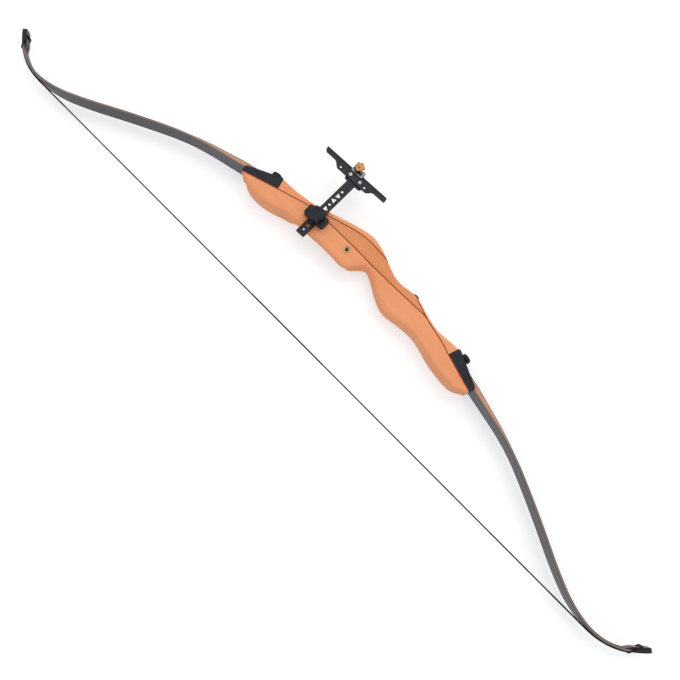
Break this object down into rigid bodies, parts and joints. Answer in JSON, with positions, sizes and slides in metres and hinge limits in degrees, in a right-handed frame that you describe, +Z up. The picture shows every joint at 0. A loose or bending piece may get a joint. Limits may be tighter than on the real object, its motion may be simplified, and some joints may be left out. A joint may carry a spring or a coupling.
{
  "type": "recurve bow",
  "caption": "Strung wooden takedown recurve bow lying on its left side, with bolted limbs in black pockets, a bowstring, a T-shaped bow sight and a folding arrow rest.",
  "frame": {"origin": "middle of the box's footprint, on the surface that the bow lies on", "axes": "+X from the string towards the target, +Y towards the upper limb, +Z up, out of the bow's right side"},
  "size_m": [0.3278, 1.683, 0.076],
  "materials": {
    "riser_wood": "satin lacquer, light orange brown with a fine grain along the bow",
    "veneer": "satin lacquer, dark red brown",
    "limb_wood": "satin lacquer on the limb's edges",
    "grey_glass_fibre": "glossy dark grey laminate",
    "brown_glass_fibre": "glossy dark brown laminate",
    "tip_black": "polished black",
    "black_plastic": "moulded, fine texture",
    "black_metal": "black anodised, satin",
    "silver_metal": "satin",
    "steel": "bright",
    "brass": "bright",
    "string": "waxed strands",
    "serving": "tightly wound serving thread"
  },
  "bodies": {
    "root": {"riser_core": "riser_wood", "riser_center_wedge": "riser_wood", "riser_upper_back": "riser_wood", "riser_lower_back": "riser_wood", "veneer_upper": "veneer", "veneer_center": "veneer", "veneer_lower": "veneer", "plunger_bushing": "brass", "stabilizer_insert": "black_metal", "upper_bolt_insert": "steel", "upper_limb_pocket": "black_plastic", "upper_pocket_screws": "steel", "upper_locating_pin": "steel", "upper_belly_glass": "grey_glass_fibre", "upper_limb_core": "limb_wood", "upper_limb_wedge": "limb_wood", "upper_back_glass": "brown_glass_fibre", "upper_tip_overlay": "tip_black", "upper_end_serving": "serving", "lower_bolt_insert": "steel", "lower_limb_pocket": "black_plastic", "lower_pocket_screws": "steel", "lower_locating_pin": "steel", "lower_belly_glass": "grey_glass_fibre", "lower_limb_core": "limb_wood", "lower_limb_wedge": "limb_wood", "lower_back_glass": "brown_glass_fibre", "lower_tip_overlay": "tip_black", "lower_end_serving": "serving", "bowstring": "string", "center_serving": "serving", "sight_mount_block": "black_metal", "sight_mount_screws": "black_metal", "arrow_rest_base": "black_plastic", "arrow_rest_pin": "steel"},
    "upper_washer": {"upper_limb_washer": "black_metal"},
    "upper_bolt": {"upper_limb_bolt": "black_metal"},
    "lower_washer": {"lower_limb_washer": "black_metal"},
    "lower_bolt": {"lower_limb_bolt": "black_metal"},
    "clamp_pad": {"sight_clamp_pad": "steel"},
    "clamp_knob": {"sight_clamp_knob": "black_plastic"},
    "sight_bar": {"sight_extension_bar": "black_metal", "sight_elevation_bar": "black_metal", "sight_bar_screws": "steel"},
    "carriage": {"sight_carriage": "silver_metal", "carriage_lock_screw": "steel"},
    "windage_pin": {"windage_pin": "brass", "sight_aperture": "black_plastic"},
    "star_nut": {"windage_star_nut": "brass"},
    "lock_nut": {"windage_lock_nut": "brass"},
    "rest_arm": {"arrow_rest_arm": "steel"}
  },
  "joints": [
    {"name": "upper_bolt_lift", "type": "slide", "parent": "root", "child": "upper_washer", "axis": [0.9744, 0.225, 0], "range_m": [0, 0.0126]},
    {"name": "upper_bolt_turn", "type": "hinge", "parent": "upper_washer", "child": "upper_bolt", "pos_m": [0.01099, 0.25007, 0.0245], "axis": [0.9744, 0.225, 0], "range_deg": [0, 3600]},
    {"name": "lower_bolt_lift", "type": "slide", "parent": "root", "child": "lower_washer", "axis": [0.9744, -0.225, 0], "range_m": [0, 0.0126]},
    {"name": "lower_bolt_turn", "type": "hinge", "parent": "lower_washer", "child": "lower_bolt", "pos_m": [0.01099, -0.25007, 0.0245], "axis": [0.9744, -0.225, 0], "range_deg": [0, 3600]},
    {"name": "clamp_lift", "type": "slide", "parent": "root", "child": "clamp_pad", "axis": [0, 0, 1], "range_m": [0, 0.00121]},
    {"name": "clamp_turn", "type": "hinge", "parent": "clamp_pad", "child": "clamp_knob", "pos_m": [0.02544, 0.1325, 0.0645], "axis": [0, 0, 1], "range_deg": [0, 432]},
    {"name": "bar_slide", "type": "slide", "parent": "root", "child": "sight_bar", "axis": [0.9996, 0.0297, 0], "range_m": [-0.07, 0.018]},
    {"name": "carriage_slide", "type": "slide", "parent": "sight_bar", "child": "carriage", "axis": [-0.0297, 0.9996, 0], "range_m": [-0.055, 0.06]},
    {"name": "star_nut_turn", "type": "hinge", "parent": "carriage", "child": "star_nut", "pos_m": [0.15365, 0.14411, 0.0655], "axis": [0, 0, 1], "range_deg": [-1440, 1440]},
    {"name": "lock_nut_turn", "type": "hinge", "parent": "carriage", "child": "lock_nut", "pos_m": [0.15365, 0.14411, 0.0485], "axis": [0, 0, 1], "range_deg": [-1445, 1445]},
    {"name": "windage_slide", "type": "slide", "parent": "carriage", "child": "windage_pin", "axis": [0, 0, 1], "range_m": [-0.00322, 0.00322]},
    {"name": "rest_fold", "type": "hinge", "parent": "root", "child": "rest_arm", "pos_m": [0.03394, 0.043, 0.0253], "axis": [0, -1, 0], "range_deg": [0, 75], "stiffness_Nm_per_rad": 0.001, "springref_deg": -17.19}
  ],
  "couplings": [
    {"joint": "upper_bolt_lift", "follows": "upper_bolt_turn", "m_per_rad": 0.00019894},
    {"joint": "lower_bolt_lift", "follows": "lower_bolt_turn", "m_per_rad": 0.00019894},
    {"joint": "clamp_lift", "follows": "clamp_turn", "m_per_rad": 0.00015915},
    {"joint": "lock_nut_turn", "follows": "star_nut_turn", "ratio": 1},
    {"joint": "windage_slide", "follows": "star_nut_turn", "m_per_rad": -0.00012732}
  ]
}
